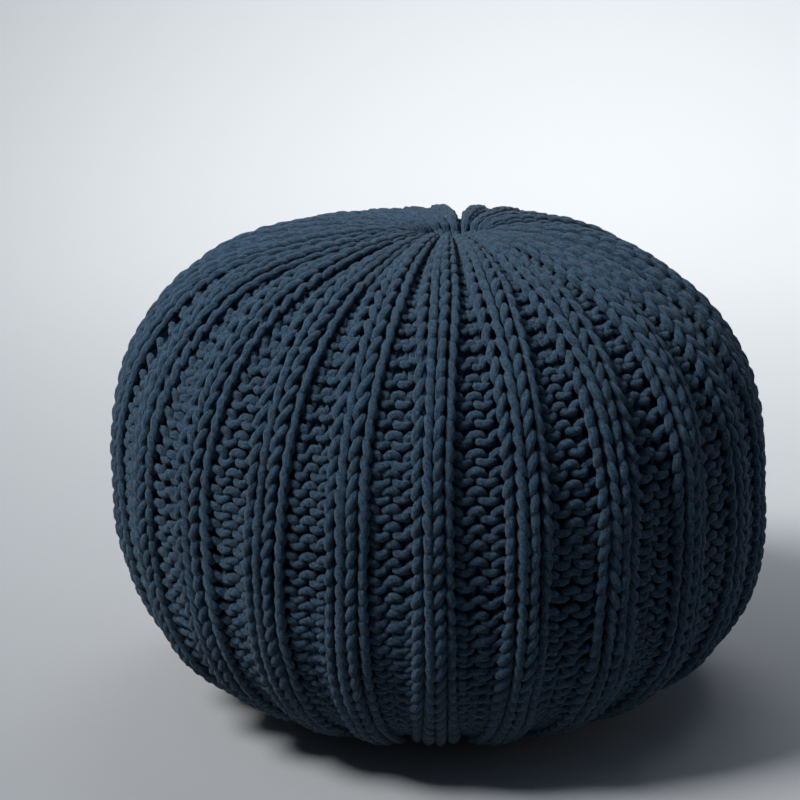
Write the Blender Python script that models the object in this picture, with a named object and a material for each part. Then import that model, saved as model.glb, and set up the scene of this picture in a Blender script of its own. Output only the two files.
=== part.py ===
"""Round knitted pouf ottoman.

One filled body in a two-by-two rib, drawn together at its crown and pressed flat where it stands.
Metres, +Z up, with the origin in the middle of the footprint, on the floor.
"""
import math
import random
from collections import namedtuple

import bmesh
import bpy
from mathutils import Vector

# The body's outline: two quarter ovals that meet at the waist, its widest place.
BODY_RADIUS = 0.250
CROWN_RISE = 0.182
FOOT_DROP = 0.195
CROWN_FULLNESS = 2.56
FOOT_FULLNESS = 2.70
FLATTENED_BY = 0.003
WAIST_HEIGHT = FOOT_DROP - FLATTENED_BY

# The filling has slumped: above the waist the body bulges to one side, and below it to the other.
SLUMP = 0.036

# Ribs: two knit columns stand up as a ridge, and two purl columns lie back between ridges.
RIBS = 24
FIRST_RIB_TURN = -0.03
KNIT_WIDTH = 0.032
KNIT_SHARE_MOST = 0.86
RELIEF = 0.008
RELIEF_PER_PITCH = 0.26
CREST_UNEVEN = 0.0008
WIDTH_UNEVEN = 0.06

# One rib in section. Across runs over the ridge or over the valley, and depth is a share of the relief.
RibPoint = namedtuple("RibPoint", "place across depth")
RIB_SECTION = (
    RibPoint("ridge", 0.08, 0.40),
    RibPoint("ridge", 0.27, 0.00),
    RibPoint("ridge", 0.50, 0.22),
    RibPoint("ridge", 0.73, 0.00),
    RibPoint("ridge", 0.92, 0.40),
    RibPoint("valley", 0.15, 1.00),
    RibPoint("valley", 0.50, 0.85),
    RibPoint("valley", 0.85, 1.00),
)

# How the ribs wander sideways round the body, in degrees: all along a rib, and more towards its ends.
Wander = namedtuple("Wander", "waves along_cos along_sin ends_cos ends_sin")
WANDERING = (
    Wander(1, 0.06, 0.05, 0.00, 0.39),
    Wander(2, 0.27, 0.03, 0.15, -0.03),
    Wander(3, 0.27, -0.42, -0.07, 0.11),
    Wander(4, -0.44, -0.51, 0.24, 0.09),
)

# The gathered middle of the crown, where the cover is drawn into a small pit.
PitRing = namedtuple("PitRing", "radius drop")
PIT = (
    PitRing(0.006, 0.015),
    PitRing(0.014, 0.006),
    PitRing(0.022, 0.001),
    PitRing(0.036, 0.000),
)

SECTIONS = 20
SHARP_ANGLE = math.radians(50)
YARN_COLOUR = (0.030, 0.055, 0.085, 1.0)
YARN_ROUGHNESS = 0.92


def clear_scene():
    for old in list(bpy.data.objects):
        bpy.data.objects.remove(old, do_unlink=True)


def half_height(height):
    """Rise and fullness of the half of the outline that holds this height."""
    if height > WAIST_HEIGHT:
        return CROWN_RISE, CROWN_FULLNESS
    return FOOT_DROP, FOOT_FULLNESS


def outline_height(radius):
    """Height of the crown's outline at a distance from the axis."""
    level = (1 - (radius / BODY_RADIUS) ** CROWN_FULLNESS) ** (1 / CROWN_FULLNESS)
    return WAIST_HEIGHT + CROWN_RISE * level


def foot_radius():
    """Where the lower outline meets the floor."""
    level = WAIST_HEIGHT / FOOT_DROP
    return BODY_RADIUS * (1 - level ** FOOT_FULLNESS) ** (1 / FOOT_FULLNESS)


def outline():
    """Radius and height pairs from the pit in the crown down to the foot."""
    points = [(ring.radius, outline_height(ring.radius) - ring.drop) for ring in PIT]
    for section in range(1, SECTIONS):
        turn = math.pi * section / SECTIONS
        crown_side = turn < math.pi / 2
        fullness = CROWN_FULLNESS if crown_side else FOOT_FULLNESS
        reach = CROWN_RISE if crown_side else -FOOT_DROP
        radius = BODY_RADIUS * math.sin(turn) ** (2 / fullness)
        height = WAIST_HEIGHT + reach * abs(math.cos(turn)) ** (2 / fullness)
        if height > FLATTENED_BY:
            points.append((radius, height))
    points.append((foot_radius(), 0.0))
    return points


def turned_body(points, spokes):
    """Spin the outline about the axis, and close the pit and the foot."""
    mesh = bmesh.new()
    verts = [mesh.verts.new((radius, 0.0, height)) for radius, height in points]
    edges = [mesh.edges.new(pair) for pair in zip(verts, verts[1:])]
    bmesh.ops.spin(mesh, geom=verts + edges, cent=(0, 0, 0), axis=(0, 0, 1), dvec=(0, 0, 0),
                   angle=math.tau, steps=spokes, use_merge=True, use_duplicate=False)
    rims = [edge for edge in mesh.edges if edge.is_boundary]
    bmesh.ops.holes_fill(mesh, edges=rims, sides=spokes)
    bmesh.ops.recalc_face_normals(mesh, faces=mesh.faces)
    return mesh


def outward(radius, height):
    """Direction out of the outline, as a share along the radius and a share up."""
    rise, fullness = half_height(height)
    above = height - WAIST_HEIGHT
    along = radius ** (fullness - 1) / BODY_RADIUS ** fullness
    up = math.copysign(abs(above) ** (fullness - 1) / rise ** fullness, above)
    size = math.hypot(along, up)
    return along / size, up / size


def wander(angle, lower):
    """Sideways drift of a rib, in radians. Lower is -1 at the crown, 0 at the waist and 1 at the foot."""
    drift = 0.0
    for row in WANDERING:
        drift += (row.along_cos + row.ends_cos * lower) * math.cos(row.waves * angle)
        drift += (row.along_sin + row.ends_sin * lower) * math.sin(row.waves * angle)
    return math.radians(drift)


def uneven_ribs():
    """A small difference in width and in height for each rib, as hands make them."""
    hands = random.Random(24)
    return [(hands.uniform(-1, 1), hands.uniform(-1, 1)) for rib in range(RIBS)]


def rib_place(column, radius, width_change):
    """Where a point of the rib's section lies, in rib pitches from the middle of the ridge."""
    point = RIB_SECTION[column]
    pitch = math.tau * radius / RIBS
    knit_share = min(KNIT_SHARE_MOST, KNIT_WIDTH * (1 + WIDTH_UNEVEN * width_change) / pitch)
    if point.place == "ridge":
        return (point.across - 0.5) * knit_share
    return knit_share / 2 + point.across * (1 - knit_share)


def raise_ribs(mesh, spokes):
    """Move the turned body's points into ribs, and lean and slump it as it stands."""
    columns = len(RIB_SECTION)
    unevenness = uneven_ribs()
    for vert in mesh.verts:
        radius = math.hypot(vert.co.x, vert.co.y)
        height = vert.co.z
        spoke = round(math.atan2(vert.co.y, vert.co.x) / math.tau * spokes) % spokes
        rib, column = divmod(spoke, columns)
        width_change, crest_change = unevenness[rib]
        pitch = math.tau * radius / RIBS
        on_foot = height == 0.0
        relief = 0.0 if on_foot else min(RELIEF, RELIEF_PER_PITCH * pitch)
        crest = 0.0 if on_foot else CREST_UNEVEN * crest_change
        sink = RIB_SECTION[column].depth * relief + crest
        along, up = outward(radius, height)
        rib_turn = rib + FIRST_RIB_TURN + rib_place(column, radius, width_change)
        lower = (WAIST_HEIGHT - height) / half_height(height)[0]
        angle = math.tau * rib_turn / RIBS - math.pi / 2
        angle += wander(angle, lower)
        reach = (radius - sink * along) * (1 + SLUMP * lower * math.cos(angle))
        vert.co = Vector((reach * math.cos(angle), reach * math.sin(angle), height - sink * up))


def centre_footprint(mesh):
    """Set the middle of the body's box over the origin."""
    xs = [vert.co.x for vert in mesh.verts]
    ys = [vert.co.y for vert in mesh.verts]
    shift = Vector((-(min(xs) + max(xs)) / 2, -(min(ys) + max(ys)) / 2, 0.0))
    bmesh.ops.translate(mesh, verts=mesh.verts, vec=shift)


def cotton_yarn():
    material = bpy.data.materials.new("cotton_yarn")
    material.use_nodes = True
    shader = material.node_tree.nodes["Principled BSDF"]
    shader.inputs["Base Color"].default_value = YARN_COLOUR
    shader.inputs["Roughness"].default_value = YARN_ROUGHNESS
    shader.inputs["Metallic"].default_value = 0.0
    return material


def knitted_body(collection):
    spokes = RIBS * len(RIB_SECTION)
    shape = turned_body(outline(), spokes)
    raise_ribs(shape, spokes)
    centre_footprint(shape)
    mesh = bpy.data.meshes.new("knitted_body")
    shape.to_mesh(mesh)
    shape.free()
    mesh.shade_smooth()
    mesh.set_sharp_from_angle(angle=SHARP_ANGLE)
    mesh.materials.append(cotton_yarn())
    collection.objects.link(bpy.data.objects.new("knitted_body", mesh))


def build():
    clear_scene()
    collection = bpy.data.collections.new("knitted_pouf_ottoman")
    bpy.context.scene.collection.children.link(collection)
    knitted_body(collection)


build()
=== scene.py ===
"""Looks of the knitted pouf ottoman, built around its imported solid: a filled body in a cover knitted by
hand from thick cotton yarn, in a two-by-two rib that is drawn together at the crown and under the foot."""
import math
from collections import namedtuple

import bmesh
import bpy
import numpy as np
from mathutils import Matrix, Vector


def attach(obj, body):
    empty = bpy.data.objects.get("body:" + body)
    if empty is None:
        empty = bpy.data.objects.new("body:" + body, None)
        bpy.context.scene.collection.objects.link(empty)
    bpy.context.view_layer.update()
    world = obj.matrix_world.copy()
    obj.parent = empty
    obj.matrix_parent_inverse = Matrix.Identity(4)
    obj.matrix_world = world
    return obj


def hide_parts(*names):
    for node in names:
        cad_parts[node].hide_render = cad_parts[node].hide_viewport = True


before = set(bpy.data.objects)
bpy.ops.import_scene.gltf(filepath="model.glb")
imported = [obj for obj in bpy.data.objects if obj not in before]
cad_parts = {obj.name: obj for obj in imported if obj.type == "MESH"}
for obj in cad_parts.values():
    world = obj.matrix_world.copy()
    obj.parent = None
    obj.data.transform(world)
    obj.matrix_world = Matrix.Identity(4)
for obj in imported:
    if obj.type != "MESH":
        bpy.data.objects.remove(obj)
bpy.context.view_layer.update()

# The camera stands a little above the pouf and in front of it, at the photograph's angle. It is aimed
# left of the middle, because the photograph has the pouf right of its own.
CAMERA_TILT = math.radians(15.3)
CAMERA_ROLL = math.radians(-0.56)
CAMERA_DISTANCE = 1.63
CAMERA_TARGET = Vector((-0.0283, 0.0, 0.2361))
CAMERA_LENS_MM = 95.2
SENSOR_WIDTH_MM = 36.0

camera = bpy.data.objects.new("camera", bpy.data.cameras.new("camera"))
camera.data.lens = CAMERA_LENS_MM
camera.data.sensor_width = SENSOR_WIDTH_MM
bpy.context.scene.collection.objects.link(camera)
towards_camera = Vector((0.0, -math.cos(CAMERA_TILT), math.sin(CAMERA_TILT)))
camera.matrix_world = (
    Matrix.Translation(CAMERA_TARGET + towards_camera * CAMERA_DISTANCE)
    @ Matrix.Rotation(math.pi / 2 - CAMERA_TILT, 4, "X")
    @ Matrix.Rotation(CAMERA_ROLL, 4, "Z")
)
bpy.context.scene.camera = camera

# The filling. Loose filling in a plain cotton bag gives the pouf its round, slightly slumped form. Only its
# cloth could be seen, through the holes between the stitches, and its dark colour is painted shade there.

# The body's outline is two quarter ovals that meet at the waist. It stands flattened on its foot, and the
# crown sinks a little towards the pit where the cover is gathered.
BODY_RADIUS = 0.2525
CROWN_RISE = 0.190
FOOT_DROP = 0.195
CROWN_FULLNESS = 2.37
FOOT_FULLNESS = 2.80
FLATTENED_BY = 0.003
WAIST_HEIGHT = FOOT_DROP - FLATTENED_BY
PIT_DEPTH = 0.018
PIT_RADIUS = 0.0190
PIT_STEEPNESS = 5
CROWN_DIP = 0.0062
CROWN_DIP_RADIUS = 0.075

# The slump, as shares of the radius: the crown leans to the left, and the foot to the right.
CROWN_LEAN = 0.030
FOOT_LEAN = 0.038

# The left shoulder stands higher over a band of this radius and width.
LEFT_SHOULDER = 0.012
LEFT_SHOULDER_RADIUS = 0.185
LEFT_SHOULDER_WIDTH = 0.055

# The gather lies to the right of the axis, and is a short fold and not a point.
GATHER_SHIFT = 0.0127
GATHER_SHIFT_FAR_SHARE = 0.33
GATHER_SHIFT_RADIUS = 0.15
GATHER_FOLD = 0.005
GATHER_FOLD_RADIUS = 0.030

BAG_INSET = 0.0170
BAG_RINGS = 64
BAG_SPOKES = 96
BAG_MERGE_WITHIN = 0.00005
SLUB_MM = 5.6


def body_outline(samples=3000):
    """The outline that the stitches' crests reach: arc length from the crown's middle, radius, height,
    and the outward direction's shares along the radius and up."""
    turn = np.linspace(0.0, math.pi, samples)
    crown_side = turn < math.pi / 2
    power = 2 / np.where(crown_side, CROWN_FULLNESS, FOOT_FULLNESS)
    reach = np.where(crown_side, CROWN_RISE, FOOT_DROP)
    radius = BODY_RADIUS * np.sin(turn) ** power
    radius[0] = radius[-1] = 0.0
    level = np.copysign(np.abs(np.cos(turn)) ** power, np.cos(turn))
    height = np.maximum(WAIST_HEIGHT + reach * level, 0.0)
    dip = CROWN_DIP * np.exp(-(radius / CROWN_DIP_RADIUS) ** 2)
    pit = PIT_DEPTH / (1 + (radius / PIT_RADIUS) ** PIT_STEEPNESS)
    height -= np.where(crown_side, dip + pit, 0.0)
    arc = np.concatenate([[0.0], np.cumsum(np.hypot(np.diff(radius), np.diff(height)))])
    along_radius = np.gradient(radius, arc)
    along_height = np.gradient(height, arc)
    size = np.hypot(along_radius, along_height)
    return arc, radius, height, -along_height / size, along_radius / size


ARC, RADIUS, HEIGHT, OUT_ALONG, OUT_UP = body_outline()
BODY_ARC = ARC[-1]
WAIST_ARC = float(ARC[RADIUS.argmax()])


def lowness(height):
    """-1 at the crown, 0 at the waist and 1 at the foot."""
    return (WAIST_HEIGHT - height) / np.where(height > WAIST_HEIGHT, CROWN_RISE, FOOT_DROP)


def crown_share(height):
    """1 at the crown, falling to 0 at the waist and below it."""
    return np.clip(-lowness(height), 0.0, 1.0)


def lean(height):
    """How far the slumped body leans, as a share of its radius: one way above its waist, the other below."""
    lower = lowness(height)
    return lower * np.where(lower < 0, CROWN_LEAN, FOOT_LEAN)


def drawn_aside(radius, height, behind):
    """How far to the right of the axis the crown is drawn, most in its middle and a little more behind."""
    share = np.exp(-(radius / GATHER_SHIFT_RADIUS) ** 2) * (height > WAIST_HEIGHT)
    return GATHER_SHIFT * (1 + GATHER_SHIFT_FAR_SHARE * behind) * share


def left_shoulder(radius, height, angle):
    """How much higher the left shoulder stands, where the filling has been pushed up."""
    share = np.exp(-((radius - LEFT_SHOULDER_RADIUS) / LEFT_SHOULDER_WIDTH) ** 2)
    return LEFT_SHOULDER * share * crown_share(height) * np.clip(-np.cos(angle), 0.0, 1.0) ** 2


def on_body(arc, angle, out):
    """Points of the slumped body at an arc length from the crown and an angle, raised by out."""
    radius = np.interp(arc, ARC, RADIUS)
    height = np.interp(arc, ARC, HEIGHT)
    reach = (radius + out * np.interp(arc, ARC, OUT_ALONG)) * (1 + lean(height) * np.cos(angle))
    fold = GATHER_FOLD * np.exp(-(radius / GATHER_FOLD_RADIUS) ** 2) * (height > WAIST_HEIGHT)
    across = reach * np.cos(angle) + drawn_aside(radius, height, np.sin(angle)) + fold * np.cos(angle)
    up = height + out * np.interp(arc, ARC, OUT_UP) + left_shoulder(radius, height, angle)
    return np.stack([across, reach * np.sin(angle), up], axis=-1)


def linear(hex_colour):
    """An sRGB hex value as a linear colour."""
    channels = [int(hex_colour[i:i + 2], 16) / 255 for i in (1, 3, 5)]
    return tuple(c / 12.92 if c <= 0.04045 else ((c + 0.055) / 1.055) ** 2.4 for c in channels) + (1.0,)


def node(material, kind, settings=None, inputs=None):
    """Add a node with its settings, and set or link its inputs."""
    made = material.node_tree.nodes.new(kind)
    for name, value in (settings or {}).items():
        setattr(made, name, value)
    for name, value in (inputs or {}).items():
        if isinstance(value, bpy.types.NodeSocket):
            material.node_tree.links.new(value, made.inputs[name])
        else:
            made.inputs[name].default_value = value
    return made


def painted_shade_sheeting():
    """Plain-woven cotton sheeting, flat and matt, whose dark colour is painted shade for the holes between
    the stitches. Its threads are too fine to show between the stitches, so only a slub is drawn, coarser than
    the real one."""
    material = bpy.data.materials.new("painted_shade_sheeting")
    material.use_nodes = True
    shader = material.node_tree.nodes["Principled BSDF"]
    place = node(material, "ShaderNodeTexCoord")
    slub = node(material, "ShaderNodeTexNoise", {},
                {"Vector": place.outputs["Object"], "Scale": 1000 / SLUB_MM})
    # Painted shade: the cloth's two dark tones stand for the shade in the holes between the stitches.
    tone = node(material, "ShaderNodeMix", {"data_type": "RGBA"},
                {"Factor": slub.outputs["Fac"], "A": linear("#0d1f38"), "B": linear("#1a3352")})
    material.node_tree.links.new(tone.outputs["Result"], shader.inputs["Base Color"])
    shader.inputs["Roughness"].default_value = 0.95
    shader.inputs["Specular IOR Level"].default_value = 0.2
    return material


def filled_bag():
    """Spin the bag's inset outline about the axis, then slump it and draw it aside as the body is."""
    arcs = np.linspace(0.0, BODY_ARC, BAG_RINGS)
    radius = np.maximum(np.interp(arcs, ARC, RADIUS) - BAG_INSET * np.interp(arcs, ARC, OUT_ALONG), 0.0)
    height = np.interp(arcs, ARC, HEIGHT) - BAG_INSET * np.interp(arcs, ARC, OUT_UP)
    radius[0] = radius[-1] = 0.0
    shape = bmesh.new()
    verts = [shape.verts.new((r, 0.0, z)) for r, z in zip(radius, height)]
    edges = [shape.edges.new(pair) for pair in zip(verts, verts[1:])]
    bmesh.ops.spin(shape, geom=verts + edges, cent=(0, 0, 0), axis=(0, 0, 1), dvec=(0, 0, 0),
                   angle=math.tau, steps=BAG_SPOKES, use_merge=True, use_duplicate=False)
    bmesh.ops.remove_doubles(shape, verts=shape.verts, dist=BAG_MERGE_WITHIN)
    bmesh.ops.recalc_face_normals(shape, faces=shape.faces)
    for vert in shape.verts:
        stretch = 1 + float(lean(vert.co.z)) * math.cos(math.atan2(vert.co.y, vert.co.x))
        aside = float(drawn_aside(math.hypot(vert.co.x, vert.co.y), vert.co.z, 0.0))
        vert.co.x = vert.co.x * stretch + aside
        vert.co.y *= stretch
    mesh = bpy.data.meshes.new("filled_bag")
    shape.to_mesh(mesh)
    shape.free()
    mesh.shade_smooth()
    mesh.materials.append(painted_shade_sheeting())
    bag = bpy.data.objects.new("filled_bag", mesh)
    bpy.context.scene.collection.objects.link(bag)
    return bag


bag = filled_bag()
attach(bag, "root")
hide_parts("knitted_body")

# The cover. One tube knitted by hand from thick cotton yarn, two knit and two purl columns in turn, set
# with the knitting's beginning at the crown. Each course is one ring of yarn whose loops go through the
# loops of the course before. Ribs stand up where the knit columns are, and close up towards both ends.

# Columns are called wales. Places across the cover are counted in wales from the first ridge's left edge.
RIBS = 24
WALES_A_RIB = 4
KNIT_WALES = 2
WALES = RIBS * WALES_A_RIB
RIDGE_MIDDLE = 1
FURROW_MIDDLE = 3
FIRST_RIB_TURN = -0.03
WALE_WIDTH = 0.016
COLUMN_TURN = 2.5

# A ridge keeps its width until the ribs are drawn together. A furrow then closes to a pleat under it. A
# ridge's arch is full from the larger of two radii outwards, and fades to a share of it at the smaller.
KNIT_WIDTH = 0.033
KNIT_SHARE_MOST = 0.87
FURROW_LEAST = 0.015
FURROW_SHARE_MOST = 0.8
CLOSED_LIFT = 0.005
RIDGE_RISE = 0.0030
RIDGE_ARCH = 0.0012
RIDGE_FOLD = 0.30
FURROW_FOLD = 0.08
ARCH_RADII = (0.015, 0.13)
ARCH_SHARES = (0.2, 1.0)

# Courses lie farther apart over the stretched crown than near the crowded foot.
CROWN_PITCH = 0.0153
FOOT_PITCH = 0.0114
STRETCHED_TO_ARC = 0.20
CROWDED_FROM_ARC = 0.45
FIRST_COURSE_ARC = 0.0145
LAST_COURSE_GAP = 0.0145
END_MARGIN = 0.004

# One loop: how it bulges and tilts in wales, and how far it reaches along the body and through the cloth.
YARN_THICKNESS = 0.0067
KNIT_BULGE = 0.19
PURL_BULGE = 0.21
LEG_PARTING = 0.02
LOOP_TILT = 0.02
LOOP_REACH = 0.0100
TAUT_REACH = 0.0014
FRONT_DEPTH = 0.0024
FRONT_ROUNDING = 1.5
BACK_DEPTH = 0.0038
TAUT_DEPTH = 0.6

# The yarn is plumper where it stands forward, and thinner where the ribs are squeezed together.
PLUMPNESS = 0.925
PLUMPER_KNIT = 0.015
PLUMPER_FORWARD = 0.06
UNSQUEEZED_WIDTH = 0.026
SQUEEZED_LEAST = 0.12

# Points of yarn a loop. Purl loops bend more, so they have more, except where they are small and hidden.
KNIT_POINTS = 14
PURL_POINTS = 15
PURL_POINTS_GATHERED = 10
GATHERED_COURSES = 6
PURL_CROWDING = 0.30
COURSES_A_BAND = 10
BAND_NAME = "knitted_courses"

# How the ribs wander round the body, in degrees: all along a rib, and more towards its ends.
Wander = namedtuple("Wander", "waves along_cos along_sin ends_cos ends_sin")
WANDERING = (
    Wander(1, 0.06, 0.05, 0.00, 0.39),
    Wander(2, 0.27, 0.03, 0.15, -0.03),
    Wander(3, 0.27, -0.42, -0.07, 0.11),
    Wander(4, -0.44, -0.51, 0.24, 0.09),
)
FAR_CROWN_TWIST = 3.7

# One furrow behind the middle of the crown stays open. Its push is in degrees, and its edge, reach and
# width are in radians. The last value is the power that keeps it, and the twist, close to the crown.
OPEN_FURROW = 11.5
OPEN_FURROW_PUSH = 1.5
OPEN_FURROW_EDGE = 0.08
OPEN_FURROW_REACH = 0.5
OPEN_FURROW_DEPTH = 0.004
OPEN_FURROW_WIDTH = 0.06
CROWN_ONLY = 4

# What hands leave uneven: shares of a loop's bulge, reach and a ridge's width, wales for lean and drift,
# metres for lift, sag and swell, and a share of the yarn's thickness for its spin. Each goes on over a
# few courses and wales.
Unevenness = namedtuple("Unevenness", "name amount over_courses over_wales")
HAND = (
    Unevenness("bulge", 0.16, 1, 0),
    Unevenness("reach", 0.08, 1, 0),
    Unevenness("lean", 0.06, 2, 1),
    Unevenness("drift", 0.05, 3, 1),
    Unevenness("lift", 0.0006, 1, 0),
    Unevenness("sag", 0.0009, 1, 3),
    Unevenness("width", 0.05, 4, 2),
    Unevenness("swell", 0.0009, 5, 2),
    Unevenness("spin", 0.04, 0, 1),
)

# The yarn's surface. The yarn is 21 mm round where it is plumpest. Spun tufts are 3.3 mm long at the
# waist, where about 5.6 m of yarn goes into a course, and shorter towards the ends. Loose fibres are
# 0.02 mm thick, and are drawn far coarser so that they show. The dye took unevenly over about a column's
# width.
TUFT_LENGTH_MM = 3.3
TUFT_WIDTH_MM = 2.625
YARN_A_COURSE_MM = 5610
YARN_ROUND_MM = 21.0
FIBRE_MM = 0.91
DYE_PATCH_MM = 16.7
FUZZ_HEIGHT = 0.0010


def from_open_furrow(angle):
    """The angle from the one furrow that stays open at the crown, behind its middle."""
    return angle + math.pi / 2 - math.tau * (OPEN_FURROW + FIRST_RIB_TURN) / RIBS


def wander(angle, height):
    """How far a rib strays round the body at an angle and a height, in radians."""
    lower = lowness(height)
    drift = 0.0
    for row in WANDERING:
        drift = drift + (row.along_cos + row.ends_cos * lower) * np.cos(row.waves * angle)
        drift = drift + (row.along_sin + row.ends_sin * lower) * np.sin(row.waves * angle)
    far = ((1 + np.sin(angle)) / 2) ** 2
    beside = from_open_furrow(angle)
    parted = OPEN_FURROW_PUSH * np.tanh(beside / OPEN_FURROW_EDGE)
    parted = parted * np.exp(-(beside / OPEN_FURROW_REACH) ** 2)
    drift = drift + (FAR_CROWN_TWIST * far + parted) * crown_share(height) ** CROWN_ONLY
    return np.radians(drift)


def hand_variation(seed, courses, over_courses, over_wales):
    """A smooth uneven field over courses and wales, about one in size, as hands pull yarn unevenly."""
    field = np.random.default_rng(seed).standard_normal((courses, WALES))
    for axis, spread in ((0, over_courses), (1, over_wales)):
        total = np.zeros_like(field)
        for step in range(-3 * spread, 3 * spread + 1):
            share = math.exp(-0.5 * (step / spread) ** 2) if spread else 1.0
            total += share * np.roll(field, step, axis=axis)
        field = total
    return field / field.std()


def at_points(field_row, wale):
    """Read one course's row of a field between its wales."""
    return np.interp(wale - 0.5, np.arange(WALES), field_row, period=WALES)


def steps_round(purl_points):
    """Places round one course, in wales. On purl columns they are closer together where a loop bends."""
    rib_steps = []
    for column in range(WALES_A_RIB):
        knit = column < KNIT_WALES
        points = KNIT_POINTS if knit else purl_points
        even = np.arange(points) / points
        closer = 0.0 if knit else PURL_CROWDING * np.sin(2 * math.tau * even) / (2 * math.tau)
        rib_steps.append(column + even - closer)
    rib_steps = np.concatenate(rib_steps)
    return np.concatenate([rib_steps + WALES_A_RIB * rib for rib in range(RIBS)])


def knit_side(wale):
    """1 on the knit columns of a rib and -1 on its purl columns, with a quick turn between them."""
    return np.tanh(COLUMN_TURN * np.sin(math.pi * wale / KNIT_WALES))


def flat_loops(wale, arc, vary):
    """One course's yarn in the cloth laid flat: its place across in wales, its arc, its height out of the
    cloth, and how far forward it stands in its loop."""
    phase = math.tau * wale
    side = knit_side(wale)
    taut = float(np.interp(arc, (STRETCHED_TO_ARC, WAIST_ARC), (1.0, 0.0)))
    bulge = (KNIT_BULGE + PURL_BULGE + (KNIT_BULGE - PURL_BULGE) * side) / 2 * (1 + vary["bulge"])
    reach = -(LOOP_REACH + TAUT_REACH * taut) * (1 + vary["reach"]) * np.cos(phase)
    across = wale + bulge * np.sin(2 * phase) - LEG_PARTING * np.sin(phase)
    across = across + (LOOP_TILT + vary["lean"]) * np.cos(phase) + vary["drift"]
    forward = -side * np.cos(2 * phase)
    rounded = np.tanh(FRONT_ROUNDING * forward) / math.tanh(FRONT_ROUNDING)
    depth = np.where(forward > 0, FRONT_DEPTH * rounded, BACK_DEPTH * forward)
    out = RIDGE_RISE * side + depth * (1 - (1 - TAUT_DEPTH) * taut * (1 + side) / 2)
    arc_here = np.clip(arc + reach + vary["sag"], END_MARGIN, BODY_ARC - END_MARGIN)
    return across, arc_here, out + vary["lift"] + vary["swell"], forward


def in_ribs(across, radius, width_change):
    """Places across the flat cloth as the ribs take them: turned from the first rib's middle, in ribs, how
    far the cloth sinks there, and the ridge's width. Where the ribs close up, the ridges meet and the
    furrows' stitches stay under them, as a pleat does."""
    pitch = math.tau * radius / RIBS
    ridge = pitch * np.minimum(KNIT_SHARE_MOST, KNIT_WIDTH / pitch * (1 + width_change))
    furrow = np.maximum(pitch - ridge, np.minimum(FURROW_LEAST, FURROW_SHARE_MOST * pitch))
    rib, local = np.divmod(across, WALES_A_RIB)
    next_rib = local >= FURROW_MIDDLE
    last_furrow = local < RIDGE_MIDDLE
    from_ridge = local - RIDGE_MIDDLE - WALES_A_RIB * next_rib
    from_furrow = local - FURROW_MIDDLE + WALES_A_RIB * last_furrow
    on_ridge = np.where(next_rib, pitch, 0.0) + from_ridge / KNIT_WALES * ridge
    in_furrow = np.where(last_furrow, -pitch, pitch) / 2 + from_furrow / KNIT_WALES * furrow
    share = (1 + knit_side(local)) / 2
    turned = rib + (share * on_ridge + (1 - share) * in_furrow) / pitch

    arch = RIDGE_ARCH + RIDGE_FOLD * np.sqrt(np.maximum(WALE_WIDTH ** 2 - ridge ** 2 / 4, 0.0))
    arch = arch * np.interp(radius, ARCH_RADII, ARCH_SHARES)
    fold = FURROW_FOLD * np.sqrt(np.maximum(WALE_WIDTH ** 2 - furrow ** 2 / 4, 0.0))
    lifted = CLOSED_LIFT * (1 - np.minimum(ridge / KNIT_WIDTH, 1.0))
    sunk = share * arch * from_ridge ** 2 + (1 - share) * (arch + fold * (1 - from_furrow ** 2) - lifted)
    return turned, sunk, ridge


def course_points(course, course_count, arc, fields):
    """The yarn's middle line round one course, and how plump it is at each point."""
    gathered = min(course, course_count - 1 - course) < GATHERED_COURSES
    wale = steps_round(PURL_POINTS_GATHERED if gathered else PURL_POINTS)
    vary = {name: at_points(field[course], wale) for name, field in fields.items()}
    across, arc_here, out, forward = flat_loops(wale, arc, vary)
    turned, sunk, ridge = in_ribs(across, np.interp(arc_here, ARC, RADIUS), vary["width"])

    angle = math.tau * (turned + FIRST_RIB_TURN) / RIBS - math.pi / 2
    height = np.interp(arc_here, ARC, HEIGHT)
    opened = np.exp(-(from_open_furrow(angle) / OPEN_FURROW_WIDTH) ** 2) * crown_share(height) ** CROWN_ONLY
    crest = RIDGE_RISE + FRONT_DEPTH + YARN_THICKNESS / 2
    points = on_body(arc_here, angle + wander(angle, height), out - sunk - OPEN_FURROW_DEPTH * opened - crest)
    points[:, 2] = np.maximum(points[:, 2], YARN_THICKNESS / 2)

    squeezed = np.sqrt(np.clip(ridge / UNSQUEEZED_WIDTH, SQUEEZED_LEAST, 1.0))
    plump = PLUMPNESS + PLUMPER_KNIT * knit_side(wale) + PLUMPER_FORWARD * forward + vary["spin"]
    return points, squeezed * plump


def yarn_rings(name, rings):
    """Closed rings of yarn as one mesh, each a round tube along its middle line."""
    curve = bpy.data.curves.new(name, "CURVE")
    curve.dimensions = "3D"
    curve.bevel_depth = YARN_THICKNESS / 2
    curve.bevel_resolution = 1
    for points, plumpness in rings:
        spline = curve.splines.new("POLY")
        spline.points.add(len(points) - 1)
        spline.use_cyclic_u = True
        spline.points.foreach_set("co", np.column_stack([points, np.ones(len(points))]).ravel())
        spline.points.foreach_set("radius", plumpness)
    bent = bpy.data.objects.new(name, curve)
    bpy.context.scene.collection.objects.link(bent)
    mesh = bpy.data.meshes.new_from_object(bent.evaluated_get(bpy.context.evaluated_depsgraph_get()))
    bpy.data.objects.remove(bent)
    bpy.data.curves.remove(curve)
    mesh.name = name
    yarn = bpy.data.objects.new(name, mesh)
    bpy.context.scene.collection.objects.link(yarn)
    return yarn


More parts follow.
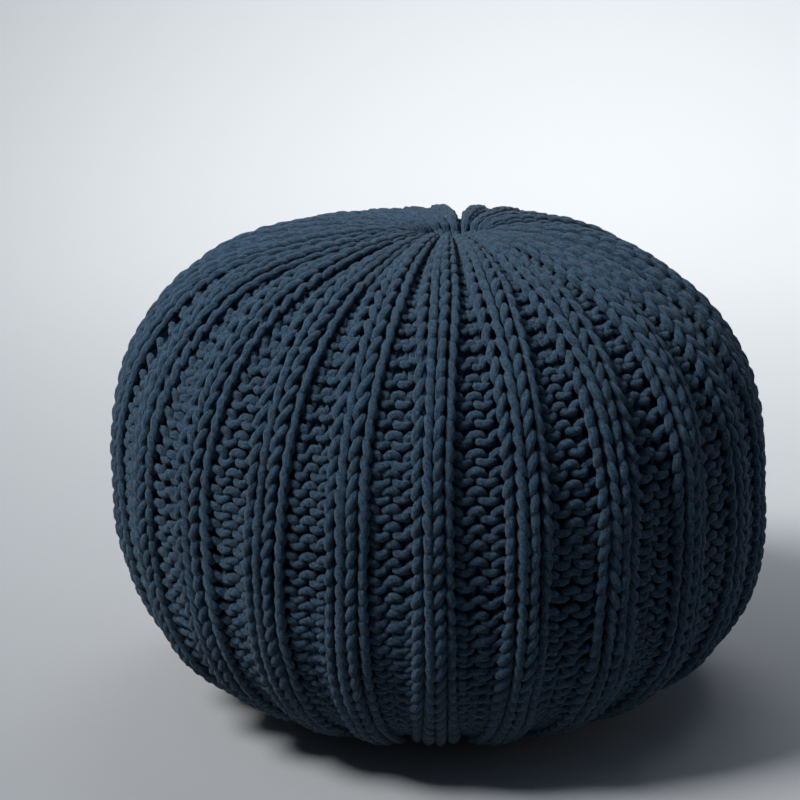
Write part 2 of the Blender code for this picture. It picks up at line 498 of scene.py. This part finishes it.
def dyed_cotton_yarn():
    """Thick cotton yarn, spun soft and dyed navy as a hank. To the eye it is matt, with a grain of spun
    tufts, a dye that took a little unevenly, and a faint bloom of loose fibres that catch the light, drawn as
    painted highlights."""
    material = bpy.data.materials.new("dyed_cotton_yarn")
    material.use_nodes = True
    shader = material.node_tree.nodes["Principled BSDF"]
    links = material.node_tree.links
    place = node(material, "ShaderNodeTexCoord")
    tufts_a_course = YARN_A_COURSE_MM / TUFT_LENGTH_MM
    tufts_round = YARN_ROUND_MM / TUFT_WIDTH_MM
    along = node(material, "ShaderNodeMapping", {},
                 {"Vector": place.outputs["UV"], "Scale": (tufts_a_course, tufts_round, 1.0)})
    tufts = node(material, "ShaderNodeTexNoise", {"noise_dimensions": "2D"},
                 {"Vector": along.outputs["Vector"], "Scale": 1.0, "Detail": 3.0, "Roughness": 0.65})
    fibres = node(material, "ShaderNodeTexNoise", {},
                  {"Vector": place.outputs["Object"], "Scale": 1000 / FIBRE_MM, "Detail": 3.0,
                   "Roughness": 0.7})
    dye = node(material, "ShaderNodeTexNoise", {},
               {"Vector": place.outputs["Object"], "Scale": 1000 / DYE_PATCH_MM, "Detail": 5.0,
                "Roughness": 0.6})
    grain = node(material, "ShaderNodeMath", {"operation": "ADD"},
                 {0: tufts.outputs["Fac"], 1: fibres.outputs["Fac"]})
    mottle = node(material, "ShaderNodeMapRange", {},
                  {"Value": grain.outputs["Value"], "From Min": 0.80, "From Max": 1.22})
    tone = node(material, "ShaderNodeMix", {"data_type": "RGBA"},
                {"Factor": mottle.outputs["Result"], "A": linear("#0a1b2e"), "B": linear("#29465a")})
    # Painted highlights: pale specks mixed into the colour where loose fibres catch the light.
    glint_specks = node(material, "ShaderNodeMapRange", {},
                 {"Value": fibres.outputs["Fac"], "From Min": 0.60, "From Max": 0.72, "To Max": 0.8})
    tone_and_glints = node(material, "ShaderNodeMix", {"data_type": "RGBA"},
                   {"Factor": glint_specks.outputs["Result"], "A": tone.outputs["Result"], "B": linear("#60788a")})
    bath = node(material, "ShaderNodeMapRange", {},
                {"Value": dye.outputs["Fac"], "From Min": 0.3, "From Max": 0.7,
                 "To Min": 0.82, "To Max": 1.14})
    colour = node(material, "ShaderNodeVectorMath", {"operation": "SCALE"},
                  {0: tone_and_glints.outputs["Result"], "Scale": bath.outputs["Result"]})
    links.new(colour.outputs["Vector"], shader.inputs["Base Color"])
    raised = node(material, "ShaderNodeBump", {},
                  {"Height": grain.outputs["Value"], "Strength": 0.85, "Distance": FUZZ_HEIGHT})
    links.new(raised.outputs["Normal"], shader.inputs["Normal"])
    shader.inputs["Roughness"].default_value = 0.88
    shader.inputs["Specular IOR Level"].default_value = 0.25
    shader.inputs["Sheen Weight"].default_value = 0.2
    shader.inputs["Sheen Roughness"].default_value = 0.5
    shader.inputs["Sheen Tint"].default_value = linear("#a2a8ac")
    return material


yarn_material = dyed_cotton_yarn()
course_arcs = [FIRST_COURSE_ARC]
while course_arcs[-1] < BODY_ARC - LAST_COURSE_GAP:
    pitch = np.interp(course_arcs[-1], (STRETCHED_TO_ARC, CROWDED_FROM_ARC), (CROWN_PITCH, FOOT_PITCH))
    course_arcs.append(course_arcs[-1] + pitch)
course_count = len(course_arcs)
hand = {}
for seed, row in enumerate(HAND, start=1):
    hand[row.name] = row.amount * hand_variation(seed, course_count, row.over_courses, row.over_wales)
courses = [course_points(course, course_count, arc, hand) for course, arc in enumerate(course_arcs)]
for first in range(0, course_count, COURSES_A_BAND):
    band = yarn_rings(f"{BAND_NAME}_{first // COURSES_A_BAND + 1}", courses[first:first + COURSES_A_BAND])
    band.data.materials.append(yarn_material)
    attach(band, "root")
    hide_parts("knitted_body")

# The room, no part of the pouf: a round floor of pale paper that curves up into a low wall, a soft light
# on the pouf from the left, one over the floor behind it, three on the wall, and a faint blue light from
# all round that fills the shadows.
ROOM_RADIUS = 3.4
ROOM_BEND = 1.4
ROOM_BEND_STEPS = 12
ROOM_WALL = 3.2
ROOM_SPOKES = 96
ROOM_MERGE_WITHIN = 0.0001
WALL_LIGHT_OUT = 1.6
WALL_LIGHT_HEIGHT = 2.8
WALL_AIM_OUT = 2.8
WALL_AIM_HEIGHT = 0.2
WallLight = namedtuple("WallLight", "side x y power")
WALL_LIGHTS = (
    WallLight("left", -1, 0, 6),
    WallLight("right", 1, 0, 34),
    WallLight("front", 0, -1, 6),
)


def studio_paper():
    """Matt studio paper off a roll: pale, even and without gloss."""
    material = bpy.data.materials.new("studio_paper")
    material.use_nodes = True
    shader = material.node_tree.nodes["Principled BSDF"]
    shader.inputs["Base Color"].default_value = linear("#9a9c9e")
    shader.inputs["Roughness"].default_value = 0.95
    shader.inputs["Specular IOR Level"].default_value = 0.1
    return material


def paper_room():
    """Spin the floor's and wall's outline about the pouf's axis."""
    line = [(0.0, 0.0)]
    for step in range(ROOM_BEND_STEPS + 1):
        turn = math.pi / 2 * step / ROOM_BEND_STEPS
        across = ROOM_RADIUS - ROOM_BEND + ROOM_BEND * math.sin(turn)
        line.append((across, ROOM_BEND - ROOM_BEND * math.cos(turn)))
    line.append((ROOM_RADIUS, ROOM_WALL))
    shape = bmesh.new()
    verts = [shape.verts.new((across, 0.0, z)) for across, z in line]
    edges = [shape.edges.new(pair) for pair in zip(verts, verts[1:])]
    bmesh.ops.spin(shape, geom=verts + edges, cent=(0, 0, 0), axis=(0, 0, 1), dvec=(0, 0, 0),
                   angle=math.tau, steps=ROOM_SPOKES, use_merge=True, use_duplicate=False)
    bmesh.ops.remove_doubles(shape, verts=shape.verts, dist=ROOM_MERGE_WITHIN)
    bmesh.ops.recalc_face_normals(shape, faces=shape.faces)
    mesh = bpy.data.meshes.new("floor")
    shape.to_mesh(mesh)
    shape.free()
    mesh.shade_smooth()
    mesh.materials.append(studio_paper())
    floor = bpy.data.objects.new("floor", mesh)
    bpy.context.scene.collection.objects.link(floor)
    return floor


def soft_light(name, place, aim, size, power, spread):
    """A round soft light. Its spread, in degrees, keeps its beam off the rest of the room."""
    lamp = bpy.data.lights.new(name, "AREA")
    lamp.shape = "DISK"
    lamp.size = size
    lamp.energy = power
    lamp.spread = math.radians(spread)
    light = bpy.data.objects.new(name, lamp)
    light.location = place
    light.rotation_euler = (Vector(aim) - Vector(place)).to_track_quat("-Z", "Y").to_euler()
    bpy.context.scene.collection.objects.link(light)


paper_room()
soft_light("key_light", (-1.5, -0.8, 2.2), (0.15, 0.3, 0.5), size=0.9, power=20, spread=70)
soft_light("back_light", (0.3, 1.6, 2.9), (0.2, 2.4, 0.0), size=2.0, power=62, spread=88)
for row in WALL_LIGHTS:
    place = (WALL_LIGHT_OUT * row.x, WALL_LIGHT_OUT * row.y, WALL_LIGHT_HEIGHT)
    aim = (WALL_AIM_OUT * row.x, WALL_AIM_OUT * row.y, WALL_AIM_HEIGHT)
    soft_light(f"wall_light_{row.side}", place, aim, size=2.0, power=row.power, spread=100)
world = bpy.data.worlds.new("studio")
world.use_nodes = True
world.node_tree.nodes["Background"].inputs["Color"].default_value = linear("#9fc3f2")
world.node_tree.nodes["Background"].inputs["Strength"].default_value = 0.25
bpy.context.scene.world = world
bpy.context.scene.view_settings.view_transform = "Standard"
